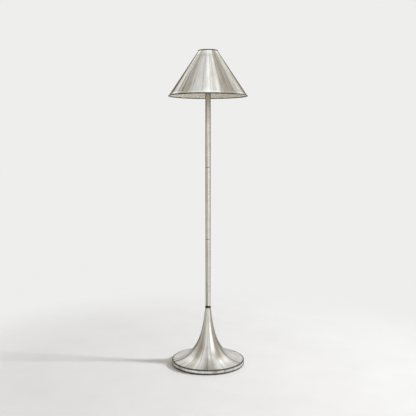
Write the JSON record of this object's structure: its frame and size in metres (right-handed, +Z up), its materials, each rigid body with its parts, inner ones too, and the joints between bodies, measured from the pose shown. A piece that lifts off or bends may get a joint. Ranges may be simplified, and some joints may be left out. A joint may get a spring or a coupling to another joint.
{
  "type": "floor lamp",
  "caption": "Floor lamp with a plain metal cone shade on a slim straight pole, a dark collar at the neck and a trumpet-shaped base that ends in a flat rimmed disc.",
  "frame": {"origin": "on the floor, under the middle of the base and the pole", "axes": "+Z up along the pole, the front faces -Y, the switch key points to +X, the cord inlet is at +Y"},
  "size_m": [0.3809, 0.381, 1.524],
  "materials": {
    "antique_nickel": "antique nickel plate on spun steel, hand rubbed lengthwise",
    "plated_casting": "cast iron with a plated and rubbed edge",
    "dark_bronze": "dark oxidised",
    "felt": "felt",
    "zinc_steel": "plain",
    "socket_brass": "satin",
    "black_plastic": "moulded",
    "fibre_liner": "vulcanised fibre",
    "opal_glass": "frosted inside",
    "clear_glass": "clear",
    "black_glass": "black glass",
    "bulb_metal": "rolled sheet",
    "tungsten": "drawn wire"
  },
  "bodies": {
    "stand": {"felt_ring": "felt", "base_casting": "plated_casting", "bottom_plate": "zinc_steel", "plate_screws": "zinc_steel", "cord_bushing": "black_plastic", "flared_cover": "antique_nickel", "tie_rod": "zinc_steel", "hub_washer": "zinc_steel", "lock_washer": "zinc_steel", "hub_nut": "zinc_steel", "neck_collar": "dark_bronze", "pole_lower": "antique_nickel", "lower_foot_plug": "zinc_steel", "lower_head_plug": "zinc_steel", "pole_middle": "antique_nickel", "middle_foot_plug": "zinc_steel", "middle_head_plug": "zinc_steel", "pole_upper": "antique_nickel", "upper_foot_plug": "zinc_steel", "upper_head_plug": "zinc_steel", "lower_joint_nipple": "zinc_steel", "upper_joint_nipple": "zinc_steel", "pole_cap": "antique_nickel", "socket_nipple": "zinc_steel", "socket_cap": "socket_brass", "cap_screw": "zinc_steel", "socket_interior": "black_plastic", "terminal_screws": "socket_brass", "centre_contact": "socket_brass", "screw_shell": "socket_brass", "insulating_sleeve": "fibre_liner", "socket_shell": "socket_brass", "retaining_ring": "socket_brass"},
    "switch": {"switch_key": "socket_brass", "switch_shaft": "socket_brass", "switch_cam": "black_plastic"},
    "shade": {"shade_shell": "antique_nickel", "shade_lower_wire": "zinc_steel", "shade_upper_wire": "zinc_steel", "fitter_ring": "zinc_steel", "fitter_arm_1": "zinc_steel", "fitter_arm_2": "zinc_steel", "fitter_arm_3": "zinc_steel"},
    "bulb": {"bulb_glass": "opal_glass", "bulb_cap": "bulb_metal", "bulb_insulator": "black_glass", "bulb_tip": "bulb_metal", "bulb_stem": "clear_glass", "bulb_filament": "tungsten"}
  },
  "joints": [
    {"name": "switch_turn", "type": "hinge", "parent": "stand", "child": "switch", "pos_m": [0, 0, 1.35111], "axis": [1, 0, 0], "continuous": true},
    {"name": "shade_turn", "type": "hinge", "parent": "stand", "child": "shade", "pos_m": [0, 0, 1.3754], "axis": [0, 0, 1], "continuous": true},
    {"name": "bulb_lift", "type": "slide", "parent": "stand", "child": "bulb", "axis": [0, 0, 1], "range_m": [0, 0.17]}
  ]
}
